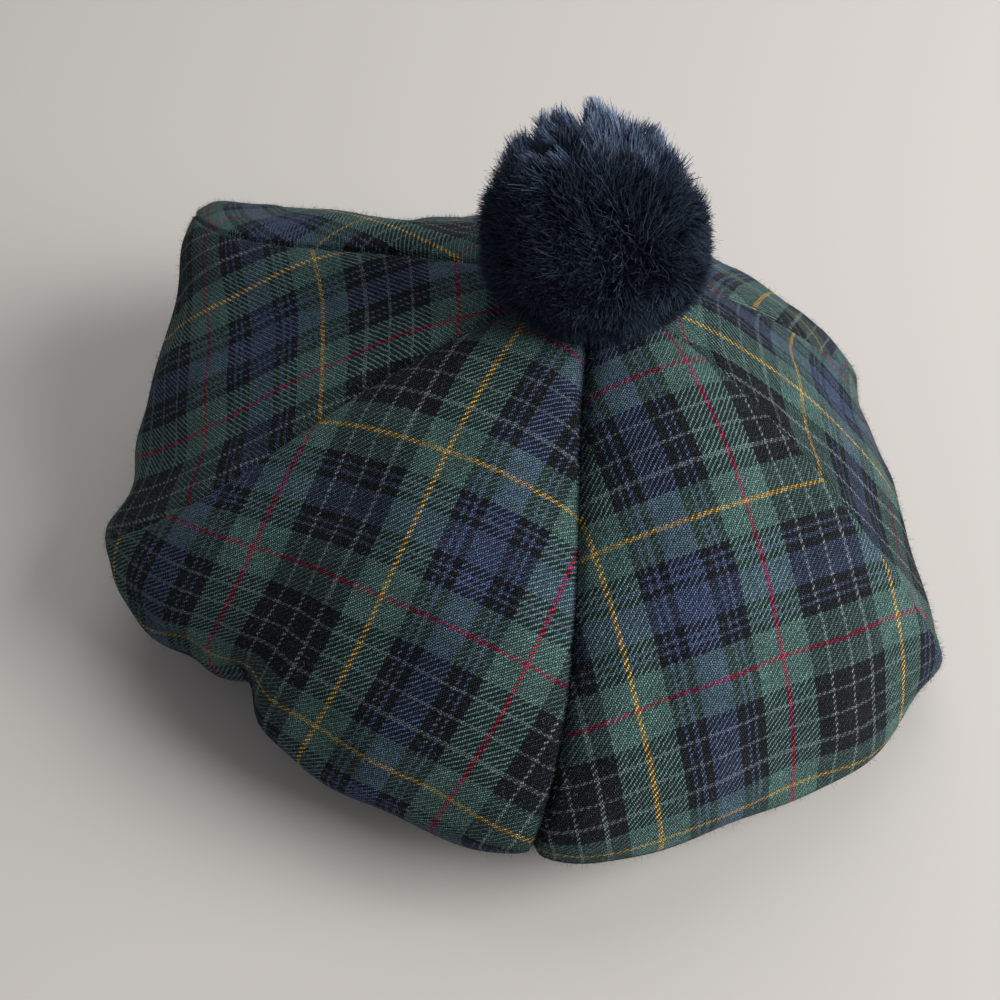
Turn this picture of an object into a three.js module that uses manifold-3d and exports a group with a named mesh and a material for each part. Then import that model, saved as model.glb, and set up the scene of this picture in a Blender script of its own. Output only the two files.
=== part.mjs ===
// Tam o' shanter: a wide, soft wool cap of six one-piece gores that roll under at the rim to a
// plain headband, with a large pompom on its crown. Millimetres, +Z up, the front towards -Y.
// The cap rests on the headband's flat lower edge at z = 0, its footprint centred on the origin.
import * as THREE from 'three';
import Module from 'manifold-3d';

// Named sizes, in mm
const crownRadius = 150;
const crownHeight = 112;
const rimRoll = 11;
const clothThick = 2;
const headRadius = 90.5;
const bandHeight = 28;
const bandThick = 2.6;
const pomRadius = 35;
const seamGap = 0.4;
const restGap = 0.3;

// Where the six gores meet, as shares of crownRadius to the right of and behind the band's centre
const apexRightShare = 0.135;
const apexBackShare = -0.015;

// Seams, clockwise from above. Angle in degrees from +X, rim radius as a share of crownRadius,
// rim height as a share of crownHeight, roll radius as a share of rimRoll, sideways drift of the
// seam in degrees, its outward belly as a share of crownRadius, and the power of its drop: a
// lower one gives a rounder shoulder at the rim.
const SEAMS = [
  { name: 'front', angle: 270.3, rim: 1.015, height: 0.131, roll: 1.16, drift: 3.2, belly: 0.008, drop: 1.46 },
  { name: 'left_front', angle: 198.1, rim: 0.985, height: 0.263, roll: 0.9, drift: 7.7, belly: -0.024, drop: 1.46 },
  { name: 'left_back', angle: 147.9, rim: 0.977, height: 0.64, roll: 1.05, drift: 8.1, belly: -0.02, drop: 1.02 },
  { name: 'back', angle: 98.3, rim: 0.99, height: 0.125, roll: 1.05, drift: 7, belly: -0.07, drop: 1.46 },
  { name: 'right_back', angle: 23.5, rim: 0.95, height: 0.04, roll: 1.05, drift: -13, belly: -0.01, drop: 1.46 },
  { name: 'right_front', angle: -30.2, rim: 1.053, height: 0.06, roll: 1.05, drift: -4.7, belly: 0.03, drop: 1.46 },
];

// Gores, each from its own seam to the next one. The same shares at the gore's middle, how far
// the cloth puffs out there as a share of crownHeight, and the drop's power.
const GORES = [
  { name: 'gore_front_left', rim: 0.909, height: 0.142, roll: 0.95, puff: 0.063, drop: 1.46 },
  { name: 'gore_left', rim: 0.895, height: 0.284, roll: 1, puff: 0.06, drop: 1.46 },
  { name: 'gore_back_left', rim: 0.955, height: 0.329, roll: 1, puff: 0.061, drop: 1.46 },
  { name: 'gore_back_right', rim: 0.965, height: 0.006, roll: 1, puff: 0.045, drop: 1.46 },
  { name: 'gore_right', rim: 0.888, height: 0.018, roll: 1, puff: 0.048, drop: 1.46 },
  { name: 'gore_front_right', rim: 0.997, height: 0.051, roll: 1, puff: 0.06, drop: 1.46 },
];

// Folds in the rim: gore, place across it from -1 to 1, width on that scale, push outwards as a
// share of crownRadius and lift as a share of crownHeight.
const FOLDS = [
  { gore: 0, at: 0.42, width: 0.14, out: -0.034, lift: 0.035 },
  { gore: 0, at: 0.76, width: 0.17, out: 0.012, lift: -0.02 },
  { gore: 0, at: -0.35, width: 0.16, out: 0.012, lift: 0.012 },
  { gore: 5, at: -0.42, width: 0.2, out: -0.012, lift: 0.022 },
  { gore: 5, at: 0.4, width: 0.2, out: 0.01, lift: 0.01 },
  { gore: 1, at: -0.3, width: 0.2, out: 0.015, lift: 0.02 },
  { gore: 1, at: 0.3, width: 0.2, out: -0.014, lift: 0.03 },
  { gore: 2, at: -0.35, width: 0.22, out: 0.014, lift: 0.02 },
  { gore: 3, at: 0.3, width: 0.2, out: -0.016, lift: 0.03 },
  { gore: 4, at: 0, width: 0.25, out: 0.012, lift: 0.025 },
];

// How soon the crown's section spreads from the apex
const spreadPower = 1.18;

// Grid of a gore
const acrossCells = 12;
const crownCells = 15;
const rollCells = 5;
const underCells = 5;
const tipStart = 0.024;

const rad = THREE.MathUtils.degToRad;
const mix = (a, b, w) => a + (b - a) * w;
const clamp01 = (v) => Math.min(Math.max(v, 0), 1);

// One point of a gore's outer face. w runs 0 to 1 from its own seam to the next. t runs 0 to 1
// down the crown, 1 to 2 around the rolled rim, 2 to 3 under it to the band and 3 to 4 over the
// band's top edge.
function gorePoint(g, w, t) {
  const a = SEAMS[g];
  const b = SEAMS[(g + 1) % 6];
  const gore = GORES[g];
  const endAngle = b.angle > a.angle ? b.angle - 360 : b.angle;
  const psi = 2 * w - 1;
  const hump = 1 - Math.abs(psi) ** 2.5;
  const crown = Math.min(t, 1);
  const bow = 16 * crown ** 2 * (1 - crown) ** 2;
  const angle = rad(mix(a.angle, endAngle, w) + mix(a.drift, b.drift, w) * bow);
  const value = (key) => mix(a[key], b[key], w) + (gore[key] - (a[key] + b[key]) / 2) * hump;
  let rimShare = value('rim');
  let heightShare = value('height');
  const near = clamp01((crown - 0.45) / 0.55) ** 2;
  for (const fold of FOLDS) {
    if (fold.gore !== g) continue;
    const place = Math.exp(-(((psi - fold.at) / fold.width) ** 2)) * (1 - psi ** 8);
    rimShare += fold.out * place * near;
    heightShare += fold.lift * place * near;
  }
  const roll = value('roll') * rimRoll;
  const radius = rimShare * crownRadius;
  const rimZ = Math.max(heightShare * crownHeight, restGap) + roll;
  const turn = clamp01(t - 1) * Math.PI / 2;
  let r = radius - roll * (1 - Math.cos(turn));
  let z = rimZ - roll * Math.sin(turn);
  if (t > 2) {
    const u = clamp01(t - 2);
    const ease = u * u * (3 - 2 * u);
    r = mix(r, headRadius + bandThick * 1.5, u) - bandThick * clamp01(t - 3);
    z = mix(z, bandHeight + restGap, ease);
  }
  const phase = crown * Math.PI / 2;
  const spread = Math.sin(phase) ** spreadPower;
  const drop = Math.max(Math.cos(phase), 0) ** value('drop');
  const apexX = apexRightShare * crownRadius;
  const apexY = apexBackShare * crownRadius;
  const tEnd = Math.min(t, 1) + 0.15 * clamp01(t - 1);
  const puff = gore.puff * crownHeight * hump * Math.sin(Math.PI * clamp01(tEnd / 1.08));
  const out = puff + mix(a.belly, b.belly, w) * crownRadius * bow;
  return new THREE.Vector3(
    apexX * (1 - spread) + r * Math.cos(angle) * spread + out * Math.cos(angle) * 0.64,
    apexY * (1 - spread) + r * Math.sin(angle) * spread + out * Math.sin(angle) * 0.64,
    z + (crownHeight - rimZ) * drop + out * 0.77,
  );
}

// The way out of the cloth at a point. Along a seam both gores use the seam's own plane, so their
// edges stay apart through the cloth's thickness.
function goreNormal(g, w, t, place) {
  const e = 0.002;
  const down = gorePoint(g, w, t + e).sub(gorePoint(g, w, t - e));
  const across = gorePoint(g, Math.min(w + e, 1), t).sub(gorePoint(g, Math.max(w - e, 0), t));
  const face = new THREE.Vector3().crossVectors(across, down).normalize();
  const p = gorePoint(g, w, t);
  const level = new THREE.Vector3(p.y, -p.x, 0);
  if (t < 0.5) {
    const q = gorePoint(g, w, 0.5);
    level.set(q.y, -q.x, 0);
  }
  const seam = new THREE.Vector3().crossVectors(level, down).normalize();
  const share = Math.abs(place) ** 6;
  return face.lerp(seam, share).normalize();
}

// How far in from a seam, as a share of the gore's width, its cut edge lies
function edgeInset(g, side, t) {
  const e = 0.001;
  const along = gorePoint(g, side, t + e).sub(gorePoint(g, side, t - e));
  const aside = along.cross(goreNormal(g, side, t, 1)).normalize();
  const next = gorePoint(g, Math.abs(side - e), t).sub(gorePoint(g, side, t)).divideScalar(e);
  return seamGap / 2 / Math.abs(next.dot(aside));
}

// A closed mesh from two grids of points, the second one behind the first
function shell(front, back) {
  const rows = front.length;
  const cols = front[0].length;
  const position = [];
  for (const grid of [front, back]) {
    for (const row of grid) {
      for (const p of row) position.push(p.x, p.y, p.z);
    }
  }
  const at = (side, i, j) => side * rows * cols + i * cols + j;
  const index = [];
  const quad = (a, b, c, d) => index.push(a, c, b, a, d, c);
  for (let i = 0; i < rows - 1; i += 1) {
    for (let j = 0; j < cols - 1; j += 1) {
      quad(at(0, i, j), at(0, i + 1, j), at(0, i + 1, j + 1), at(0, i, j + 1));
      quad(at(1, i, j), at(1, i, j + 1), at(1, i + 1, j + 1), at(1, i + 1, j));
    }
    quad(at(0, i, 0), at(1, i, 0), at(1, i + 1, 0), at(0, i + 1, 0));
    quad(at(0, i, cols - 1), at(0, i + 1, cols - 1), at(1, i + 1, cols - 1), at(1, i, cols - 1));
  }
  for (let j = 0; j < cols - 1; j += 1) {
    quad(at(0, 0, j), at(0, 0, j + 1), at(1, 0, j + 1), at(1, 0, j));
    quad(at(0, rows - 1, j), at(1, rows - 1, j), at(1, rows - 1, j + 1), at(0, rows - 1, j + 1));
  }
  const geometry = new THREE.BufferGeometry();
  geometry.setAttribute('position', new THREE.Float32BufferAttribute(position, 3));
  geometry.setIndex(index);
  geometry.computeVertexNormals();
  return geometry;
}

// Stations down a gore, closer together around the rolled rim
const stations = [];
for (let i = 0; i <= crownCells; i += 1) stations.push(mix(tipStart, 1, i / crownCells));
for (let i = 1; i <= rollCells; i += 1) stations.push(1 + i / rollCells);
for (let i = 1; i <= underCells; i += 1) stations.push(2 + i / underCells);
stations.push(4);

function goreGeometry(g) {
  const front = [];
  const back = [];
  for (const t of stations) {
    const place = Math.min(Math.max(t, 0.01), 3.99);
    const first = edgeInset(g, 0, place);
    const last = 1 - edgeInset(g, 1, place);
    const frontRow = [];
    const backRow = [];
    for (let j = 0; j <= acrossCells; j += 1) {
      const w = mix(first, last, j / acrossCells);
      const p = gorePoint(g, w, t);
      const n = goreNormal(g, w, place, 2 * j / acrossCells - 1);
      frontRow.push(p);
      backRow.push(p.clone().addScaledVector(n, -clothThick));
    }
    front.push(frontRow);
    back.push(backRow);
  }
  return shell(front, back);
}

// Headband: a plain folded ring of cloth with softened edges and a flat foot
function bandGeometry() {
  const soft = bandThick * 0.22;
  const r0 = headRadius;
  const r1 = headRadius + bandThick;
  const section = [
    [r0 + soft, 0], [r1 - soft, 0], [r1, soft], [r1, bandHeight - soft],
    [r1 - soft, bandHeight], [r0 + soft, bandHeight], [r0, bandHeight - soft], [r0, soft],
  ];
  const sides = 48;
  const position = [];
  const index = [];
  for (let i = 0; i < sides; i += 1) {
    const a = 2 * Math.PI * i / sides;
    for (const [r, z] of section) position.push(r * Math.cos(a), r * Math.sin(a), z);
    for (let k = 0; k < section.length; k += 1) {
      const here = i * section.length;
      const next = ((i + 1) % sides) * section.length;
      const k1 = (k + 1) % section.length;
      index.push(here + k, next + k, next + k1, here + k, next + k1, here + k1);
    }
  }
  const geometry = new THREE.BufferGeometry();
  geometry.setAttribute('position', new THREE.Float32BufferAttribute(position, 3));
  geometry.setIndex(index);
  geometry.computeVertexNormals();
  return geometry;
}

// Pompom: a core with blunt tapered locks of yarn fused to it, pressed flat on the crown. Shares of
// pomRadius: the upper half's height, how fast the lower half drops, the backward lean of the top,
// the reach to the front and the height of the widest level over the seat. A lower half with a
// high bulge power is boxy.
const wasm = await Module();
wasm.setup();
const pomRiseShare = 1.11;
const pomSinkShare = 0.64;
const pomLeanShare = 0.13;
const pomFrontShare = 0.85;
const pomLevelShare = 0.41;
const pomBulgePower = 2.4;
const lockCount = 90;
const lockRootShare = 0.2;
const lockTipShare = 0.13;
const coreShare = 0.9;

function pressPoint(v) {
  const drop = Math.min(Math.max(-v[2] / pomRadius, 0), 0.9);
  const wide = (1 - drop ** pomBulgePower) ** (1 / pomBulgePower) / Math.sqrt(1 - drop * drop);
  v[0] *= wide;
  v[1] *= v[1] < 0 ? wide * pomFrontShare : wide;
  v[2] *= v[2] > 0 ? pomRiseShare : pomSinkShare;
  v[1] += pomLeanShare * Math.max(v[2], 0);
}

function pomGeometry() {
  const core = wasm.Manifold.sphere(pomRadius * coreShare, 20);
  const parts = [core];
  for (let i = 0; i < lockCount; i += 1) {
    const up = 1 - 2 * (i + 0.5) / lockCount;
    const turn = i * 2.39996;
    const wave = 0.5 + 0.5 * Math.sin(i * 12.9898 + 1.3);
    const reach = pomRadius * (up > 0.55 ? 1 + 0.07 * wave : 0.97 + 0.04 * wave);
    const foot = pomRadius * 0.55;
    const lock = wasm.Manifold.cylinder(reach - foot, pomRadius * lockRootShare, pomRadius * lockTipShare, 5)
      .translate([0, 0, foot])
      .rotate([0, THREE.MathUtils.radToDeg(Math.acos(up)), 0])
      .rotate([0, 0, THREE.MathUtils.radToDeg(turn)]);
    if (up > -0.75) parts.push(lock);
  }
  const whole = wasm.Manifold.union(parts).warp(pressPoint);
  const seat = crownHeight + seatRise;
  const centre = seat + pomRadius * pomLevelShare;
  const placed = whole.translate([apexRightShare * crownRadius, apexBackShare * crownRadius, centre]);
  const size = 4 * pomRadius;
  const keep = wasm.Manifold.cube([size, size, size], true)
    .translate([apexRightShare * crownRadius, apexBackShare * crownRadius, seat + size / 2]);
  const mesh = placed.intersect(keep).getMesh();
  const count = mesh.vertProperties.length / mesh.numProp;
  const position = new Float32Array(count * 3);
  for (let i = 0; i < count; i += 1) {
    for (let k = 0; k < 3; k += 1) position[3 * i + k] = mesh.vertProperties[mesh.numProp * i + k];
  }
  const geometry = new THREE.BufferGeometry();
  geometry.setAttribute('position', new THREE.BufferAttribute(position, 3));
  geometry.setIndex(Array.from(mesh.triVerts));
  geometry.computeVertexNormals();
  return geometry;
}

// How far the crown's cloth rises beside the apex under the pompom, so that the pompom clears it
let seatRise = restGap;
for (let g = 0; g < 6; g += 1) {
  for (let i = 0; i <= 12; i += 1) {
    for (let t = tipStart; t < 0.4; t += 0.01) {
      const p = gorePoint(g, i / 12, t);
      const away = Math.hypot(p.x - apexRightShare * crownRadius, p.y - apexBackShare * crownRadius);
      if (away < pomRadius) seatRise = Math.max(seatRise, p.z - crownHeight + restGap);
    }
  }
}

const group = new THREE.Group();
group.name = 'tam_o_shanter';
const cloth = [
  ['gore_front_left', 0x33493f], ['gore_left', 0x33493f], ['gore_back_left', 0x33493f],
  ['gore_back_right', 0x33493f], ['gore_right', 0x33493f], ['gore_front_right', 0x33493f],
];
cloth.forEach(([name, color], g) => {
  const material = new THREE.MeshStandardMaterial({ color, roughness: 0.92, metalness: 0 });
  material.name = 'tartan_wool';
  const mesh = new THREE.Mesh(goreGeometry(g), material);
  mesh.name = name;
  group.add(mesh);
});
const bandMaterial = new THREE.MeshStandardMaterial({ color: 0x1c2430, roughness: 0.9, metalness: 0 });
bandMaterial.name = 'band_cloth';
const band = new THREE.Mesh(bandGeometry(), bandMaterial);
band.name = 'headband';
group.add(band);
const pomMaterial = new THREE.MeshStandardMaterial({ color: 0x131a2c, roughness: 1, metalness: 0 });
pomMaterial.name = 'pompom_yarn';
const pompom = new THREE.Mesh(pomGeometry(), pomMaterial);
pompom.name = 'pompom';
group.add(pompom);

// The middle of the footprint goes to the origin
const box = new THREE.Box3().setFromObject(group);
const middle = box.getCenter(new THREE.Vector3());
for (const mesh of group.children) mesh.geometry.translate(-middle.x, -middle.y, 0);

export default group;
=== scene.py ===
import bpy
import numpy as np
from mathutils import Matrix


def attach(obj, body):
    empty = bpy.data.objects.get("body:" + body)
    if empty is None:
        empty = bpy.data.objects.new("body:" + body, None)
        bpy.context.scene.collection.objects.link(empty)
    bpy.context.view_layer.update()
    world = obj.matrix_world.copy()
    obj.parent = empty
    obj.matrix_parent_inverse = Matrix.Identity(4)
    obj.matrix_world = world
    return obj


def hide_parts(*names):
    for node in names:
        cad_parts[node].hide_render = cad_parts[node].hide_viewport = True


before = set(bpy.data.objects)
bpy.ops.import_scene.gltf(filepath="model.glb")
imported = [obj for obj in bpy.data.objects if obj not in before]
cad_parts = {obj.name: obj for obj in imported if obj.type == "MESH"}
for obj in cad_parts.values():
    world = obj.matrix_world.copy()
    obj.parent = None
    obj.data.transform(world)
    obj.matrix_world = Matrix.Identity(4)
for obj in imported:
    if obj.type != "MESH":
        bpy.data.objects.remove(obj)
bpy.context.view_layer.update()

# Crown gores
# Six leaf-shaped panels of brushed tartan wool twill, 2 mm thick, each cut in one piece. They run
# from the apex under the pompom, roll under at the rim and are gathered to the headband. Plain
# seams join them, turned inwards, so every seam lies in a narrow ditch.
crown_radius, crown_height = 150.0, 112.0
rim_roll, cloth_thick = 11.0, 2.0
head_radius, band_height, band_thick = 90.5, 28.0, 2.6
apex = np.array([0.135 * crown_radius, -0.015 * crown_radius])
# From the middle of the headband, about which all is built, to the middle of the footprint
to_footprint = np.array([1.956, 2.162, 0])
rest_gap, seam_gap = 0.3, 0.12
# Seams clockwise from above. rim, height and roll are shares of the crown's radius, the crown's
# height and the rim's roll. drift is a sideways bow in degrees, belly an outward one as a share
# of the radius, drop the power of the section's fall. valley and ditch are depths in mm of a wide
# and a narrow dip along the seam, below 0 where the cloth stands up.
seams = np.array(
    [
        (270.3, 1.015, 0.131, 1.16, 3.2, 0.008, 1.46, 3.1, 2.3),
        (198.1, 0.985, 0.263, 0.9, 7.7, -0.024, 1.46, -0.5, 0.6),
        (147.9, 0.977, 0.64, 1.05, 8.1, -0.02, 1.02, 2.4, 1.8),
        (98.3, 0.99, 0.125, 1.05, 7.0, -0.07, 1.46, 0.6, 0.6),
        (23.5, 0.95, 0.04, 1.05, -13.0, -0.01, 1.46, 0.3, 0.4),
        (-30.2, 1.053, 0.06, 1.05, -4.7, 0.03, 1.46, -0.4, 0.4),
    ],
    dtype=[(c, float) for c in "angle rim height roll drift belly drop valley ditch".split()],
)
# The same shares halfway between a gore's two seams, with its puff as a share of the height
gores = np.array(
    [
        (0.909, 0.142, 0.95, 0.063, 1.46),
        (0.895, 0.284, 1.0, 0.06, 1.46),
        (0.955, 0.329, 1.0, 0.061, 1.46),
        (0.965, 0.006, 1.0, 0.045, 1.46),
        (0.888, 0.018, 1.0, 0.048, 1.46),
        (0.997, 0.051, 1.0, 0.06, 1.46),
    ],
    dtype=[(c, float) for c in "rim height roll puff drop".split()],
)
gore_names = [
    "gore_front_left",
    "gore_left",
    "gore_back_left",
    "gore_back_right",
    "gore_right",
    "gore_front_right",
]
# Rim folds: gore, place across from -1 to 1, width, push out and lift as shares
folds = [
    (0, -0.35, 0.16, 0.012, 0.012),
    (0, 0.21, 0.1, -0.06, 0.035),
    (0, 0.42, 0.14, -0.018, 0.02),
    (0, 0.65, 0.2, 0.03, -0.035),
    (0, 0.86, 0.1, 0.022, 0.0),
    (1, -0.84, 0.15, 0.034, 0.0),
    (1, -0.3, 0.2, 0.015, 0.02),
    (1, 0.3, 0.2, -0.014, 0.03),
    (1, 0.84, 0.15, 0.016, 0.02),
    (2, -0.8, 0.2, 0.01, 0.035),
    (2, -0.35, 0.22, 0.014, 0.02),
    (2, 0.3, 0.45, -0.02, -0.075),
    (3, 0.05, 0.35, -0.02, -0.07),
    (3, 0.3, 0.2, -0.016, 0.03),
    (3, 0.75, 0.2, 0.015, 0.02),
    (4, 0.0, 0.25, 0.012, 0.025),
    (4, 0.75, 0.18, 0.026, 0.0),
    (5, -0.8, 0.14, -0.012, 0.02),
    (5, -0.42, 0.2, 0.022, -0.013),
    (5, 0.4, 0.25, -0.008, 0.03),
]
# Creases above the rolled rim: gore, place across, width, place down, height, depth in mm
creases = [
    (0, -0.3, 0.2, 0.75, 0.15, 1.05),
    (0, 0.2, 0.1, 0.97, 0.1, 2.4),
    (0, 0.45, 0.16, 0.62, 0.2, 1.5),
    (0, 0.62, 0.3, 0.93, 0.045, 3.0),
    (1, -0.5, 0.2, 0.75, 0.15, 1.5),
    (1, 0.1, 0.25, 0.6, 0.12, 1.5),
    (1, 0.45, 0.3, 0.85, 0.06, 1.8),
    (2, -0.4, 0.4, 0.86, 0.05, 2.1),
    (2, 0.3, 0.5, 0.65, 0.3, 5.1),
    (3, 0.2, 0.6, 0.5, 0.3, 4.2),
    (4, 0.2, 0.3, 0.9, 0.06, 1.5),
    (5, -0.15, 0.25, 0.9, 0.05, 1.2),
    (5, 0.5, 0.2, 0.65, 0.2, 1.2),
]
# How each gore was cut from the cloth: across and down offsets in mm, turn in degrees, and
# whether its middle lies by the red line (1) or the yellow one (0), half a sett away
half_sett = 46.0
cuts = [
    (9.8, 26.3, -7.36, 0),
    (-5.35, 42.07, -6.68, 1),
    (-19.0, 44.0, 2.0, 0),
    (4.0, 36.0, -2.0, 1),
    (4.35, 26.0, 3.1, 0),
    (-14.22, 37.21, 2.99, 1),
]
# Powers of the section's outward spread and of the hump between two seams
spread_power, hump_power = 1.18, 2.5
# Where the rim folds begin, and where the puff ends, as places down the crown
fold_start, puff_end, puff_past_rim = 0.45, 1.08, 0.15
# The puff's direction, outwards and upwards
puff_out, puff_up = 0.64, 0.77


def dent(distance, width):
    """A Gaussian, 1 at distance 0."""
    return np.exp(-((distance / width) ** 2))


def crown(g, w, t):
    """A gore's outer face, in mm. w runs 0 to 1 from its own seam to the next; t runs 0 to 1 down
    the crown, to 2 round the rolled rim, to 3 under it and to 4 over the band. The section is
    spread = sin^1.18 outwards and cos^drop downwards, the rim's radius and height blend between
    the two seams with a hump 1 - |psi|^2.5 for the middle, and the puff is that hump times a
    half sine down the crown."""
    a, b, mid = seams[g], seams[(g + 1) % 6], gores[g]
    end = b["angle"] - 360 if b["angle"] > a["angle"] else b["angle"]
    psi = 2 * w - 1
    hump = 1 - np.abs(psi) ** hump_power

    def line(column):
        return a[column] + (b[column] - a[column]) * w

    def blend(column):
        return line(column) + (mid[column] - (a[column] + b[column]) / 2) * hump

    down = np.minimum(t, 1)
    bow = 16 * down**2 * (1 - down) ** 2
    angle = np.radians(a["angle"] + (end - a["angle"]) * w + line("drift") * bow)
    rim, height = blend("rim"), blend("height")
    near = np.clip((down - fold_start) / (1 - fold_start), 0, 1) ** 2
    for gore, at, width, out, lift in folds:
        if gore == g:
            place = dent(psi - at, width) * (1 - psi**8) * near
            rim, height = rim + out * place, height + lift * place
    roll = blend("roll") * rim_roll
    rim_z = np.maximum(height * crown_height, rest_gap) + roll
    turn = np.clip(t - 1, 0, 1) * np.pi / 2
    r = rim * crown_radius - roll * (1 - np.cos(turn))
    z = rim_z - roll * np.sin(turn)
    # Under the rim the cloth eases up to the band, and then goes over the band's edge
    under = np.clip(t - 2, 0, 1)
    r = r + (head_radius + band_thick * 1.5 - r) * under - band_thick * np.clip(t - 3, 0, 1)
    z = z + (band_height + rest_gap - z) * under * under * (3 - 2 * under)
    phase = down * np.pi / 2
    spread = np.sin(phase) ** spread_power
    drop = np.maximum(np.cos(phase), 0) ** blend("drop")
    tail = np.minimum((down + puff_past_rim * np.clip(t - 1, 0, 1)) / puff_end, 1)
    out = mid["puff"] * crown_height * hump * np.sin(np.pi * tail)
    out = out + line("belly") * crown_radius * bow
    x = apex[0] * (1 - spread) + (r * spread + out * puff_out) * np.cos(angle)
    y = apex[1] * (1 - spread) + (r * spread + out * puff_out) * np.sin(angle)
    return np.stack([x, y, z + (crown_height - rim_z) * drop + out * puff_up], -1)


def unit(v):
    """v divided by its own length, row by row."""
    return v / np.maximum(np.linalg.norm(v, axis=-1, keepdims=True), 1e-9)


def way_out(g, w, t, place):
    """The cloth's outward direction: the cross product of the slopes across and down, blended
    with |place|^6 into the upright plane of the seam, which both gores at a seam share. Near the
    apex that plane is taken from t = 0.5, further out, where it is well defined."""
    e = 0.002
    down = crown(g, w, t + e) - crown(g, w, t - e)
    across = crown(g, np.minimum(w + e, 1), t) - crown(g, np.maximum(w - e, 0), t)
    far = crown(g, w, np.maximum(t, 0.5))
    level = np.stack([far[..., 1], -far[..., 0], 0 * far[..., 0]], -1)
    share = (np.abs(place) ** 6)[..., None]
    face, seam = unit(np.cross(across, down)), unit(np.cross(level, down))
    return unit(face * (1 - share) + seam * share)


def edge_inset(g, side, t):
    """Half the seam's gap as a share of the gore's width, measured square to the seam's plane."""
    e = 0.001
    along = crown(g, side, t + e) - crown(g, side, t - e)
    square = unit(np.cross(along, way_out(g, side, t, np.ones_like(t))))
    beside = (crown(g, np.abs(side - e), t) - crown(g, side, t)) / e
    return seam_gap / 2 / np.abs((beside * square).sum(-1))


def lay_flat(p, start, t):
    """Cloth coordinates in mm of a grid of points: down the middle by arc length from the apex,
    across by arc length, with the rows bent as on a cone, whose curvature k is the width's slope
    over the width. k is averaged over 27 rows below t = 0.8, so the rows turn gradually."""
    c = p.shape[0] // 2
    s = np.r_[0, np.cumsum(np.linalg.norm(np.diff(p[c], axis=0), axis=1))] + start
    run = np.cumsum(np.linalg.norm(np.diff(p, axis=0), axis=2), 0)
    run = np.concatenate([np.zeros((1, p.shape[1])), run], 0)
    x, wide = run - run[c], run[-1]
    k = np.clip(np.gradient(wide, s) / wide, np.where(t > 1, 0, -0.03), 0.2)
    rows = 27
    window = np.hanning(rows) / np.hanning(rows).sum()
    smooth = np.convolve(np.pad(k, rows // 2, mode="edge"), window, mode="valid")
    k = np.where(t > 0.8, smooth, k)
    k = np.where(np.abs(k) < 1e-5, 1e-5, k)
    return np.sin(k * x) / k, s - (1 - np.cos(k * x)) / k


def new_mesh(name, points, quads):
    """A mesh object from an n by 3 array in mm and an m by 4 (or 3) array of corners."""
    mesh = bpy.data.meshes.new(name)
    count, sides = quads.shape
    mesh.vertices.add(len(points))
    mesh.vertices.foreach_set("co", ((points + to_footprint) / 1000).astype(np.float32).ravel())
    mesh.loops.add(count * sides)
    mesh.loops.foreach_set("vertex_index", quads.astype(np.int32).ravel())
    mesh.polygons.add(count)
    mesh.polygons.foreach_set("loop_start", np.arange(0, count * sides, sides, dtype=np.int32))
    mesh.polygons.foreach_set("use_smooth", np.ones(count, bool))
    mesh.update(calc_edges=True)
    mesh.validate()
    thing = bpy.data.objects.new(name, mesh)
    bpy.context.scene.collection.objects.link(thing)
    return thing


def shell_quads(rows, cols):
    """Corners of a closed shell from two grids of rows by cols points, outer grid first."""
    at = np.arange(rows * cols).reshape(rows, cols)
    a, b, c, d = at[:-1, :-1], at[1:, :-1], at[1:, 1:], at[:-1, 1:]
    top = np.stack([a, b, c, d], -1).reshape(-1, 4)
    low = top[:, ::-1] + rows * cols
    ring = np.concatenate([at[0, :-1], at[:-1, -1], at[-1, :0:-1], at[:0:-1, 0]])
    after = np.roll(ring, -1)
    wall = np.stack([ring, after, after + rows * cols, ring + rows * cols], -1)
    return np.concatenate([top, low, wall])


def give_uv(thing, name, per_point):
    """Writes an n by 2 array of cloth coordinates as the mesh's UV map."""
    index = np.zeros(len(thing.data.loops), np.int32)
    thing.data.loops.foreach_get("vertex_index", index)
    layer = thing.data.uv_layers.new(name=name)
    layer.data.foreach_set("uv", np.asarray(per_point, np.float32)[index].ravel())


def add(tree, kind, inputs=(), **props):
    """Adds a shader node, sets its properties, and links or sets its inputs in order."""
    made = tree.nodes.new(kind)
    for key, value in props.items():
        setattr(made, key, value)
    for socket, value in zip(made.inputs, inputs):
        if isinstance(value, bpy.types.NodeSocket):
            tree.links.new(value, socket)
        elif value is not None:
            socket.default_value = value
    return made


def calc(tree, operation, *inputs, kind="ShaderNodeMath"):
    """One Math node's result, or a Vector Math node's by kind."""
    return add(tree, kind, inputs, operation=operation).outputs[0]


def tint(tree, factor, a, b, blend="MIX"):
    """One Mix node's result for colours, whose factor, A and B are its sockets 0, 6 and 7."""
    made = tree.nodes.new("ShaderNodeMix")
    made.data_type, made.blend_type = "RGBA", blend
    for socket, value in ((made.inputs[0], factor), (made.inputs[6], a), (made.inputs[7], b)):
        if isinstance(value, bpy.types.NodeSocket):
            tree.links.new(value, socket)
        else:
            socket.default_value = value
    return made.outputs[2]


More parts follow.
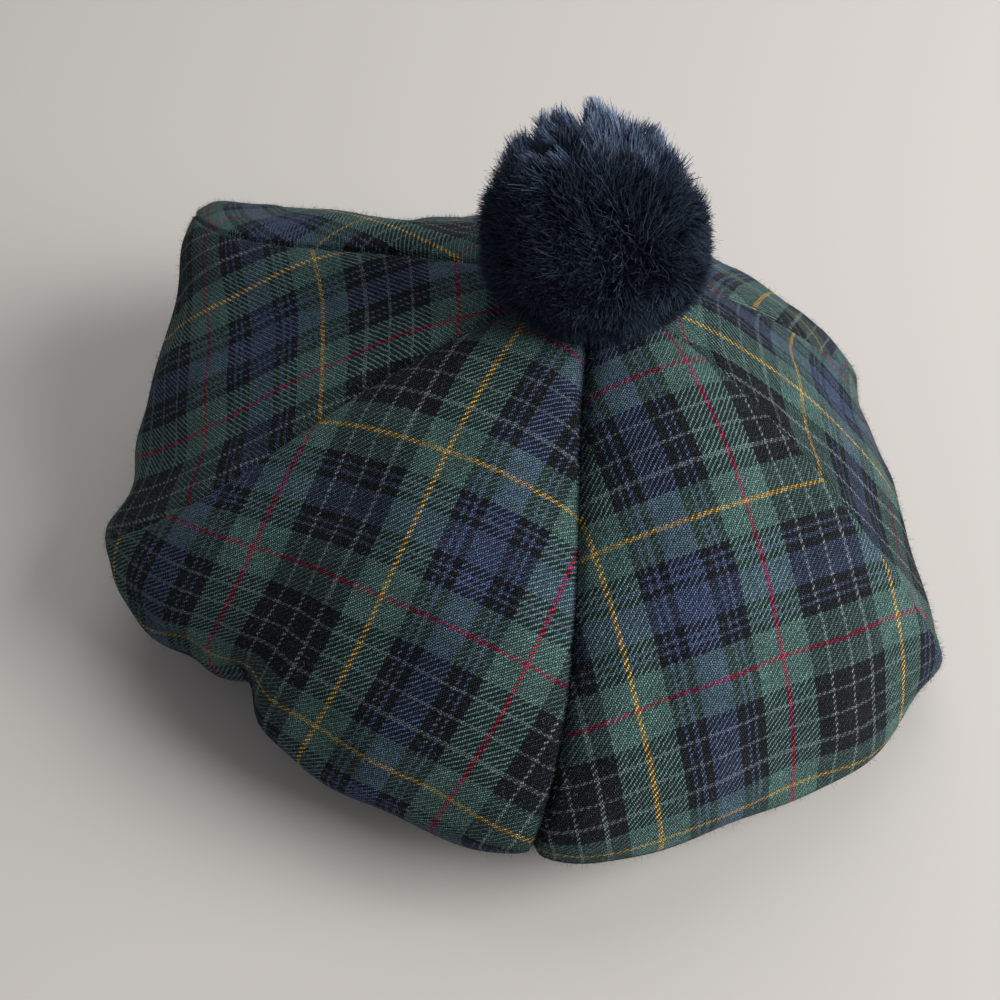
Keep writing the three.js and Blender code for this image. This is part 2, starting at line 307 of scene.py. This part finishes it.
def finish_material(name, tree_maker, roughness, sheen, sheen_tint):
    """A matt cloth or yarn: tree_maker gives its colour and bump, the rest is constant."""
    material = bpy.data.materials.new(name)
    material.use_nodes = True
    tree = material.node_tree
    bsdf = tree.nodes["Principled BSDF"]
    bsdf.inputs["Roughness"].default_value = roughness
    # Wool scatters light, so it has hardly any gloss and a wide sheen
    bsdf.inputs["Specular IOR Level"].default_value = 0.07
    bsdf.inputs["Sheen Weight"].default_value = sheen
    bsdf.inputs["Sheen Roughness"].default_value = 0.45
    bsdf.inputs["Sheen Tint"].default_value = (*sheen_tint, 1)
    colour, bump = tree_maker(tree)
    tree.links.new(colour, bsdf.inputs["Base Color"])
    if bump is not None:
        tree.links.new(bump, bsdf.inputs["Normal"])
    return material


# Yarn colours, and the sett as (yarn, count of threads) from one yellow line to the next
yarns = {
    "Y": (0.43, 0.27, 0.06),
    "R": (0.23, 0.016, 0.045),
    "G": (0.062, 0.117, 0.106),
    "B": (0.044, 0.062, 0.12),
    "K": (0.006, 0.007, 0.01),
    "P": (0.1, 0.12, 0.12),
}
sett = "Y2 G17 K5 B2 K3 B2 K6 B20 K6 B2 K3 B2 K5 G17 R4 G17 K11 P2 K14 P2 K14 P2 K11 G17 Y2"
threads_in_sett = sum(int(band[1:]) for band in sett.split())
light_fibre = (0.16, 0.18, 0.18, 1)


def tartan(tree):
    """2/2 twill from two ramps. Warp colour comes from the thread's place across the sett and
    weft colour from its place down it; warp shows where (i + j) mod 4 < 2. Each float is a low
    arch, which gives the bump. Its colour is darker at its sides as painted shade between the
    yarns and lighter on top as a painted highlight. The nap veils it with the mean of both
    yarns, and fine noise streaks it with lighter fibres."""
    uv = add(tree, "ShaderNodeUVMap", uv_map="cloth").outputs[0]
    # The threads wander by up to 0.4% of a sett
    vector = "ShaderNodeVectorMath"
    wander = add(tree, "ShaderNodeTexNoise", (uv, None, 60.0, 2.0)).outputs[1]
    wander = calc(tree, "SUBTRACT", wander, (0.5, 0.5, 0.5), kind=vector)
    wander = calc(tree, "MULTIPLY", wander, (0.008, 0.008, 0), kind=vector)
    uv_soft = calc(tree, "ADD", uv, wander, kind=vector)
    index, inside, ramps = [], [], []
    for axis in add(tree, "ShaderNodeSeparateXYZ", (uv_soft,)).outputs[:2]:
        count = calc(tree, "MULTIPLY", axis, float(threads_in_sett))
        whole = calc(tree, "FLOOR", count)
        index.append(whole)
        inside.append(calc(tree, "SUBTRACT", count, whole))
        place = calc(tree, "DIVIDE", calc(tree, "ADD", whole, 0.5), float(threads_in_sett))
        ramp = add(tree, "ShaderNodeValToRGB", (calc(tree, "FRACT", place),))
        ramp.color_ramp.interpolation = "CONSTANT"
        stops, at = ramp.color_ramp.elements, 0
        for n, band in enumerate(sett.split()):
            stop = stops[n] if n < 2 else stops.new(at / threads_in_sett)
            stop.position, stop.color = at / threads_in_sett, (*yarns[band[0]], 1)
            at += int(band[1:])
        ramps.append(ramp.outputs[0])
    # Each crossing's place in the twill's repeat of four threads
    step = calc(tree, "FLOORED_MODULO", calc(tree, "ADD", *index), 4.0)
    warp = calc(tree, "LESS_THAN", step, 1.5)
    weft = calc(tree, "SUBTRACT", 1.0, warp)

    def shown(of_warp, of_weft):
        """of_warp where the warp shows, of_weft elsewhere."""
        parts = [calc(tree, "MULTIPLY", *pair) for pair in ((warp, of_warp), (weft, of_weft))]
        return calc(tree, "ADD", *parts)

    # Places on the float that shows: 0 to 1 across it and 0 to 2 along it
    side = shown(*inside)
    run_weft = calc(tree, "ADD", calc(tree, "SUBTRACT", step, 2.0), inside[0])
    run = shown(calc(tree, "ADD", step, inside[1]), run_weft)
    arch = calc(tree, "SINE", calc(tree, "MULTIPLY", run, np.pi / 2))
    round_yarn = calc(tree, "SINE", calc(tree, "MULTIPLY", side, np.pi))
    relief = calc(tree, "MULTIPLY", calc(tree, "POWER", round_yarn, 0.8), arch)
    # Noises of the cloth's own map: single fibres, uneven wear, and tufts of the nap
    fibre = add(tree, "ShaderNodeTexNoise", (uv, None, 420.0, 3.0, 0.7)).outputs[0]
    mottle = add(tree, "ShaderNodeTexNoise", (uv, None, 9.0, 3.0, 0.6)).outputs[0]
    tuft = add(tree, "ShaderNodeTexNoise", (uv, None, 130.0, 2.0, 0.6)).outputs[0]
    spot = add(tree, "ShaderNodeCombineXYZ", (*index, 0.0)).outputs[0]
    chance_light = add(tree, "ShaderNodeTexWhiteNoise", (spot,)).outputs[0]
    body = tint(tree, warp, ramps[1], ramps[0])
    veil = calc(tree, "MULTIPLY_ADD", tuft, 0.9, -0.2)
    body = tint(tree, veil, body, tint(tree, 0.5, ramps[0], ramps[1]))
    heather = calc(tree, "MULTIPLY", calc(tree, "SUBTRACT", fibre, 0.53), 1.9)
    body = tint(tree, heather, body, light_fibre)
    # The light of each spot: its relief, as painted shade and highlight, times fibre streaks, and
    # the shares (gain, least) of the stitch's own chance, of warp over weft, painted light where
    # the warp floats catch more light, and of wear
    light = calc(tree, "MULTIPLY_ADD", relief, 1.7, 0.02)
    streaks = calc(tree, "MAXIMUM", calc(tree, "MULTIPLY_ADD", fibre, 3.4, -0.7), 0.12)
    light = calc(tree, "MULTIPLY", light, streaks)
    for source, gain, least in ((chance_light, 0.9, 0.55), (warp, 0.45, 0.8), (mottle, 0.8, 0.6)):
        light = calc(tree, "MULTIPLY", light, calc(tree, "MULTIPLY_ADD", source, gain, least))
    colour = tint(tree, 1.0, body, light, "MULTIPLY")
    bristle = calc(tree, "MULTIPLY_ADD", fibre, 0.8, relief)
    bump = add(tree, "ShaderNodeBump", (0.5, 0.00035, 1.0, bristle))
    return colour, bump.outputs["Normal"]


tartan_wool = finish_material("tartan_wool", tartan, 0.95, 0.025, (0.7, 0.8, 0.85))


def nap_colour(tree):
    """Loose fibres, each its own shade from dark green to pale grey by its place."""
    where = add(tree, "ShaderNodeTexCoord").outputs["Object"]
    shade = add(tree, "ShaderNodeTexNoise", (where, None, 700.0, 1.0)).outputs[0]
    return tint(tree, shade, (0.03, 0.06, 0.055, 1), (0.16, 0.2, 0.2, 1)), None


wool_nap = finish_material("wool_nap", nap_colour, 1.0, 0.2, (0.8, 0.85, 0.85))
chance = np.random.default_rng(11)
across_count, crown_rows, roll_rows, under_rows = 85, 118, 20, 24
# Columns from -1 at a gore's own seam to 1 at the next, closer together at both
columns = np.linspace(-1, 1, across_count)[:, None]
columns = 0.25 * columns + 0.75 * np.sin(columns * np.pi / 2)
t = np.concatenate(
    [
        np.linspace(0.024, 1, crown_rows),
        np.linspace(1, 2, roll_rows)[1:],
        np.linspace(2, 3, under_rows)[1:],
        [3.25, 3.6, 3.8, 4.0],
    ]
)
# Slopes are taken a little short of the cloth's end
safe = np.minimum(t, 3.99)
# Least heights in mm of the cloth and of its fibres over the floor
cloth_floor, fibre_floor = 0.3, 0.1
nap_count, fibre_half_width = 3800, 0.035


def near_seam(g, place, gap, arc, t):
    """Outward move in mm beside the seams, gap mm away: less a ditch of two Gaussians and a wide
    valley, plus puckers, a sine along the seam. Widths and waves are in mm. All fade at the apex
    and at the band."""
    fade = np.clip(t / 0.12, 0, 1) * np.clip((3 - t) / 0.4, 0, 1)
    own, after = seams[g], seams[(g + 1) % 6]
    valley = np.where(place < 0, own["valley"], after["valley"])
    ditch = np.where(place < 0, own["ditch"], after["ditch"])
    dip = -ditch * (dent(gap, 1.1) + 0.5 * dent(gap, 3.2))
    dip = dip - valley * dent(gap, 10) * np.clip(t / 0.5, 0, 1)
    pucker = 0.22 * dent(gap, 9.0) * np.sin(arc / 3.1 + 2 * g + 0.7 * np.sin(arc / 9))
    return dip * fade + pucker * (1 - np.abs(place) ** 24) * fade


def drape(g, place, t, u, v):
    """Outward move in mm of the soft drape: products of sines over the cloth at u, v in mm, less
    the gore's creases, each a Gaussian across times one down. It ends before the band."""
    move = 1.35 * np.sin(u / 17 + g) * np.sin(v / 29 + 1.7 * g)
    move = move + 0.55 * np.sin(u / 7.5 - v / 23 + g)
    move = move + 0.45 * np.sin(v / 6.1 + u / 15 + 2 * g) * np.sin(u / 13 - g)
    for gore, at, wide, row, tall, depth in creases:
        if gore == g:
            move = move - depth * dent(place - at, wide) * dent(t - row, tall)
    return move * (1 - place**4) * np.clip(t / 0.3, 0, 1) * np.clip((2.4 - t) / 0.4, 0, 1)


def gathers(g, place, t):
    """Outward move in mm of the gathers at the band: a sine across, from t = 2.2 to 3."""
    fade = np.clip((t - 2.2) / 0.6, 0, 1) * (t < 3)
    return 0.5 * np.sin(place * 21 + g) * fade * (1 - place**8)


def nap_fibres(p, out, count):
    """Loose fibres 1 to 3 mm long that grow from chance points of the crown, lean at most 75
    degrees and bend. Each is a strip with a pointed tip: 5 points and 3 triangles."""
    # Rows 8 to 131: from just below the pompom to round the rim
    spot = chance.integers(0, across_count - 1, count), chance.integers(8, 132, count)
    root, rise = p[spot], out[spot]
    lean = unit(rise + 1.3 * unit(chance.normal(size=(count, 3))))
    lean = unit(lean + rise * np.maximum(0.25 - (lean * rise).sum(-1, keepdims=True), 0) * 2)
    length = chance.uniform(0.8, 2.6, (count, 1))
    bend = unit(np.cross(lean, chance.normal(size=(count, 3))))
    thin = unit(np.cross(lean, chance.normal(size=(count, 3)))) * fibre_half_width
    middle = root + lean * length * 0.55 + bend * length * 0.12
    tip = root + lean * length * 0.9 + bend * length * 0.4
    hairs = np.stack([root - thin, root + thin, middle + thin, middle - thin, tip], 1)
    hairs[..., 2] = np.maximum(hairs[..., 2], fibre_floor)
    base = np.arange(count)[:, None] * 5
    tris = np.concatenate([base + [0, 1, 2], base + [0, 2, 3], base + [3, 2, 4]])
    return hairs.reshape(-1, 3), tris


for g, name in enumerate(gore_names):
    first, last = edge_inset(g, 0.0, safe), 1 - edge_inset(g, 1.0, safe)
    place = columns * np.ones_like(t)
    w = first + (last - first) * (place + 1) / 2
    out = way_out(g, w, np.ones_like(place) * safe, place)
    p = crown(g, w, np.ones_like(place) * t)
    start = np.linalg.norm(p[across_count // 2, 0] - crown(g, np.array(0.5), np.array(1e-6)))
    flat_u, flat_v = lay_flat(p, start, t)
    width = np.linalg.norm(p[-1] - p[0], axis=-1) + 1e-6
    gap = np.minimum(place + 1, 1 - place) / 2 * width
    arc = np.cumsum(np.r_[0, np.linalg.norm(np.diff(p[across_count // 2], axis=0), axis=1)])
    move = near_seam(g, place, gap, arc, t)
    move = move + drape(g, place, t, flat_u, flat_v) + gathers(g, place, t)
    # Where the cloth faces down and nears the floor, it lies still
    keep = np.clip((p[..., 2] - 0.35) / 2.0, 0, 1)
    p = p + out * np.where(out[..., 2] < 0, move * keep, move)[..., None]
    p[..., 2] = np.maximum(p[..., 2], cloth_floor + cloth_thick * np.maximum(out[..., 2], 0))
    inner = p - out * cloth_thick
    both = np.concatenate([p.reshape(-1, 3), inner.reshape(-1, 3)])
    shift_u, shift_v, turn, on_red = cuts[g]
    c, s = np.cos(np.radians(turn)), np.sin(np.radians(turn))
    # In setts, turned as the gore was cut, with 20 whole ones added to stay above 0
    cloth_u = -(flat_u * c - flat_v * s - shift_u) / (2 * half_sett) + 0.5 * on_red
    cloth_v = (flat_u * s + flat_v * c - shift_v) / (2 * half_sett) + 0.5
    cloth = np.stack([cloth_u, cloth_v], -1).reshape(-1, 2) + 20.0
    gore = new_mesh(name + "_cloth", both, shell_quads(across_count, len(t)))
    give_uv(gore, "cloth", np.concatenate([cloth, cloth]))
    gore.data.materials.append(tartan_wool)
    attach(gore, "root")
    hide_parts(name)
    nap = new_mesh(name + "_nap", *nap_fibres(p, out, nap_count))
    nap.data.materials.append(wool_nap)
    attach(nap, "root")
    area = np.zeros(len(gore.data.polygons), np.float32)
    gore.data.polygons.foreach_get("area", area)

# Headband
# A folded strip of plain dark cloth that the gores are sewn to. It hides under the crown and
# grips the head. It is soft, so its folded edges are round and its faces ripple a little.
navy_cloth = (0.014, 0.019, 0.036, 1)
# Radians of the weave for each metre, a thread every 0.45 mm
weave_scale = 7000.0


def band_weave(tree):
    """Fine plain weave: the product of two sines of the cloth's own map, with soft mottling."""
    where = add(tree, "ShaderNodeUVMap", uv_map="cloth").outputs[0]
    axes = add(tree, "ShaderNodeSeparateXYZ", (where,)).outputs[:2]
    threads = [calc(tree, "SINE", calc(tree, "MULTIPLY", axis, weave_scale)) for axis in axes]
    weave = calc(tree, "MULTIPLY", *threads)
    mottle = add(tree, "ShaderNodeTexNoise", (where, None, 90.0, 4.0, 0.6)).outputs[0]
    light = calc(tree, "MULTIPLY_ADD", weave, 0.18, calc(tree, "MULTIPLY_ADD", mottle, 0.8, 0.6))
    colour = tint(tree, 1.0, navy_cloth, light, "MULTIPLY")
    return colour, add(tree, "ShaderNodeBump", (0.4, 0.0002, 1.0, weave)).outputs["Normal"]


band_cloth = finish_material("band_cloth", band_weave, 0.88, 0.1, (0.6, 0.65, 0.8))
around = np.linspace(0, 2 * np.pi, 241)[:-1, None]
half_thick, half_high = band_thick / 2, band_height / 2
# Section of the folded strip: a tall superellipse, x = cos^0.25, z = sin^0.9. A wave of 17
# periods round the band ripples its faces, not its edges.
bend = np.linspace(0, 2 * np.pi, 57)[:-1]
side_x = np.sign(np.cos(bend)) * np.abs(np.cos(bend)) ** 0.25 * half_thick
side_z = np.sign(np.sin(bend)) * np.abs(np.sin(bend)) ** 0.9 * half_high
wave = 0.16 * np.sin(around * 17) * np.cos(bend) * (1 - (side_z / half_high) ** 4)
ring = head_radius + half_thick + side_x * 0.96 + wave
high = half_high + side_z + 0 * around
hoop = np.stack([ring * np.cos(around), ring * np.sin(around), high], -1)
at = np.arange(ring.size).reshape(ring.shape)
ahead, above = np.roll(at, -1, 0), np.roll(at, -1, 1)
quads = np.stack([at, ahead, np.roll(ahead, -1, 1), above], -1).reshape(-1, 4)
band = new_mesh("headband_cloth", hoop.reshape(-1, 3), quads)
run = np.cumsum(np.r_[0, np.hypot(np.diff(side_x), np.diff(side_z))])
cloth = np.stack([around * head_radius + 0 * ring, run + 0 * ring], -1) / 1000
give_uv(band, "cloth", cloth.reshape(-1, 2))
band.data.materials.append(band_cloth)
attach(band, "root")
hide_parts("headband")

# Pompom
# A dense ball of cut navy wool yarn, tied at its middle and sewn through the apex, pressed flat
# where it sits. Its ends have fluffed into a matted pile that parts into tufts towards the top.
pom_radius = 35.0
pom_centre = np.array([apex[0], apex[1], crown_height + 0.7 + 0.41 * pom_radius])
# Heights of the ball above and below its middle, and how far it leans back and left, as shares
pom_rise, pom_sink, lean_back, lean_left = 1.11, 0.64, 0.13, 0.1
# The power of its swell, and the height in mm and the curve per mm of the crown it sits on
pom_swell, seat_gap, seat_curve = 2.4, 0.9, 0.005


def press(points):
    """Ball space, radius 1, to the hat. The lower half swells by (1 - drop^2.4)^(1/2.4) over the
    ball's own width and is 0.64 as high. The upper half is 1.11 as high and leans back by 0.13
    and left by 0.1 of its height. The front is 0.84 as deep, by a tanh blend. Nothing goes below
    the crown's top, z = seat - 0.005 r^2."""
    drop = np.clip(-points[..., 2], 0, 0.9)
    wide = (1 - drop**pom_swell) ** (1 / pom_swell) / np.sqrt(1 - drop**2)
    z = points[..., 2] * np.where(points[..., 2] > 0, pom_rise, pom_sink)
    up = np.maximum(z, 0)
    y = points[..., 1] * wide * (0.92 + 0.08 * np.tanh(3 * points[..., 1]))
    x, y = points[..., 0] * wide - lean_left * up, y + lean_back * up
    r2 = (x * x + y * y) * pom_radius**2
    placed = np.stack([x, y, z], -1) * pom_radius + pom_centre
    placed[..., 2] = np.maximum(placed[..., 2], crown_height + seat_gap - seat_curve * r2)
    return placed


def spiral(count, jitter):
    """count directions spread over a sphere along a golden-angle spiral, each shifted by chance
    by jitter times their spacing, 3.5 / sqrt(count)."""
    n = np.arange(count) + 0.5
    golden_angle = 2.399963
    up, turn = 1 - 2 * n / count, n * golden_angle
    flat = np.sqrt(1 - up * up)
    spread = np.stack([flat * np.cos(turn), flat * np.sin(turn), up], -1)
    return unit(spread + chance.normal(size=(count, 3)) * jitter * 3.5 / np.sqrt(count))


def yarn_colour(tree):
    """Navy near black. An attribute gives each point's lightness: the yarn's own by chance, times
    painted shade towards the roots and painted light on the combed side. Fine noise streaks it.
    """
    shade = add(tree, "ShaderNodeAttribute", attribute_name="yarn_tone_and_painted_light").outputs["Fac"]
    where = add(tree, "ShaderNodeTexCoord").outputs["Object"]
    streak = add(tree, "ShaderNodeTexNoise", (where, None, 900.0, 2.0)).outputs[0]
    depth = calc(tree, "MULTIPLY", shade, calc(tree, "MULTIPLY_ADD", streak, 0.7, 0.65))
    return tint(tree, depth, (0.002, 0.005, 0.013, 1), (0.17, 0.225, 0.335, 1)), None


def give_tone_and_painted_light(thing, values):
    """Writes each point's lightness: its own by chance, with painted shade and painted light."""
    shade = thing.data.attributes.new("yarn_tone_and_painted_light", "FLOAT", "POINT")
    shade.data.foreach_set("value", values.astype(np.float32).ravel())


pom_yarn = finish_material("pompom_yarn", yarn_colour, 0.85, 0.1, (0.35, 0.42, 0.6))
chance = np.random.default_rng(5)
# The lumpy heart that the yarns grow from, dark as painted shade deep inside the ball
turns, rings = 80, 41
up = np.linspace(0, np.pi, rings)[None, :]
turn = np.linspace(0, 2 * np.pi, turns + 1)[:-1, None]
lumps = 0.02 * np.sin(9 * turn) * np.sin(7 * up)
heart_r = 0.72 + lumps + 0.012 * np.sin(23 * turn + 11 * up) * np.sin(up)
ball = (np.sin(up) * np.cos(turn), np.sin(up) * np.sin(turn), np.cos(up) + 0 * turn)
heart = press(np.stack(ball, -1) * heart_r[..., None])
at = np.arange(turns * rings).reshape(turns, rings)
ahead = np.roll(at, -1, 0)
quads = np.stack([at[:, :-1], at[:, 1:], ahead[:, 1:], ahead[:, :-1]], -1).reshape(-1, 4)
core = new_mesh("pompom_heart", heart.reshape(-1, 3), quads)
# Its 0.1 is painted shade, as dark as the ball's depths
give_tone_and_painted_light(core, np.full(turns * rings, 0.1))
core.data.materials.append(pom_yarn)
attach(core, "root")

lock_count, tuft_count = 300, 1300
locks, tufts = spiral(lock_count, 0.35), spiral(tuft_count, 0.3)
lock_tone, tuft_tone = chance.normal(size=lock_count), chance.normal(size=tuft_count)
lock_lean = chance.normal(size=(lock_count, 3))
tuft_lean = chance.normal(size=(tuft_count, 3))
# Towards this side, up and back, the yarns stand combed in locks; elsewhere they are matted
combed_side = unit(np.array([0, 0.5, 0.866]))
# Stations along a yarn: place, width, and the shade there where it is matted and combed. These
# shades are painted shade, darkest at the root, deep in the pile.
stations = (
    (0.0, 1.0, 0.05, 0.1),
    (0.5, 1.0, 0.2, 0.5),
    (0.82, 0.8, 0.65, 0.95),
    (1.0, 0.3, 1.5, 1.2),
)
matted, combed = (np.repeat([row[k] for row in stations], 2) for k in (2, 3))
strip = np.array([[0, 1, 3, 2], [2, 3, 5, 4], [4, 5, 7, 6]])
root_r = 0.62
# Piece: count of yarns, width in ball radii, how much further they reach and how curly they are
piles = {
    "yarns": (31000, 0.005, 0.0, 1.0),
    "pile": (31000, 0.0034, -0.01, 1.5),
    "flyaways": (2600, 0.0016, 0.05, 3.0),
}
for part, (count, width, further, curly) in piles.items():
    aim = spiral(count, 0.5)
    in_lock, in_tuft = np.argmax(aim @ locks.T, 1), np.argmax(aim @ tufts.T, 1)
    top = np.clip((aim @ combed_side - 0.45) / 0.25, 0, 1)
    home = tufts[in_tuft]
    # About 1 at a tuft's edge
    apart = np.linalg.norm(aim - home, axis=1) * 18
    # Each tip is pulled to its tuft and lock, leans with them and strays by chance. The first
    # number of each pair is for the matted side and the second is what the combed side adds.
    pull = (home - aim) * (0.25 + 0.1 * top)[:, None]
    pull = pull + (locks[in_lock] - home) * (0.1 + 0.35 * top)[:, None]
    stray = lock_lean[in_lock] * (0.1 - 0.01 * top)[:, None]
    stray = stray + tuft_lean[in_tuft] * (0.05 - 0.02 * top)[:, None]
    stray = stray + chance.normal(size=(count, 3)) * (0.085 - 0.07 * top)[:, None] * curly
    tip_way = unit(aim + pull + stray)
    reach = 1 + lock_tone[in_lock] * (0.014 + 0.02 * top)
    reach = reach + tuft_tone[in_tuft] * (0.016 + 0.026 * top) - 0.008 * top * apart**2
    reach = reach + chance.normal(size=count) * (0.014 + 0.01 * top) + further
    reach = np.clip(reach, 0.84, 1.1)
    curl = unit(np.cross(aim, chance.normal(size=(count, 3)))) * 0.03 * curly
    thin = unit(np.cross(aim, chance.normal(size=(count, 3)))) * width
    rows = []
    for s, wide, _, _ in stations:
        way = unit(aim * (1 - s**1.5) + tip_way * s**1.5)
        line = way * (root_r + (reach - root_r) * s)[:, None] + curl * (s * (1 - s) * 2)
        rows += [line - thin * wide, line + thin * wide]
    strand = press(np.stack(rows, 1))
    quads = (np.arange(count) * len(rows))[:, None, None] + strip
    yarn = new_mesh("pompom_" + part, strand.reshape(-1, 3), quads.reshape(-1, 4))
    # Lightness by chance, per tuft and lock, times painted light: the combed side is far lighter
    tone_and_top_light = 1 + 0.3 * tuft_tone[in_tuft] + 0.25 * lock_tone[in_lock]
    tone_and_top_light = np.clip(chance.uniform(0.15, 1.0, count) * tone_and_top_light, 0.06, 1.6) * (0.16 + 0.9 * top)
    give_tone_and_painted_light(yarn, tone_and_top_light[:, None] * (matted + (combed - matted) * top[:, None]))
    yarn.data.materials.append(pom_yarn)
    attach(yarn, "root")
    if part == "yarns":
        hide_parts("pompom")

# Floor, light and camera
# A plain pale floor 8 m wide, a wide soft key light from the right, a weak one from behind and a
# pale surround. The camera looks down by 50 degrees at the front.
corners = 4000 * np.array([(-1, -1, 0), (1, -1, 0), (1, 1, 0), (-1, 1, 0)])
floor = new_mesh("floor", corners, np.array([[0, 1, 2, 3]]))
plain = bpy.data.materials.new("floor_paint")
plain.use_nodes = True
paint = plain.node_tree.nodes["Principled BSDF"].inputs
paint["Base Color"].default_value = (0.58, 0.545, 0.51, 1)
paint["Roughness"].default_value = 0.8
floor.data.materials.append(plain)

scene = bpy.context.scene
world = bpy.data.worlds.new("surround")
world.use_nodes = True
surround = world.node_tree.nodes["Background"].inputs
surround["Color"].default_value = (0.93, 0.95, 1.0, 1)
surround["Strength"].default_value = 0.25
scene.world = world
scene.view_settings.view_transform = "Standard"
look_at = np.array([0.0, 0.0, 0.07])
for name, spot, size, power in (
    ("key", (1.45, -0.33, 0.85), 1.2, 43.0),
    ("back", (0.1, 1.0, 1.3), 1.2, 8.0),
):
    data = bpy.data.lights.new(name, "AREA")
    data.energy, data.size = power, size
    lamp = bpy.data.objects.new(name, data)
    scene.collection.objects.link(lamp)
    aim = look_at - np.array(spot)
    lamp.location = spot
    tilt, heading = np.arctan2(np.hypot(aim[0], aim[1]), -aim[2]), np.arctan2(-aim[0], aim[1])
    lamp.rotation_euler = (tilt, 0, heading)

lens = bpy.data.cameras.new("camera")
lens.lens, lens.sensor_width, lens.clip_start = 43.2, 36.0, 0.01
camera = bpy.data.objects.new("camera", lens)
scene.collection.objects.link(camera)
camera.location = (-0.00683, -0.28951, 0.3548)
camera.rotation_euler = (np.radians(40.0), 0, 0)
scene.camera = camera
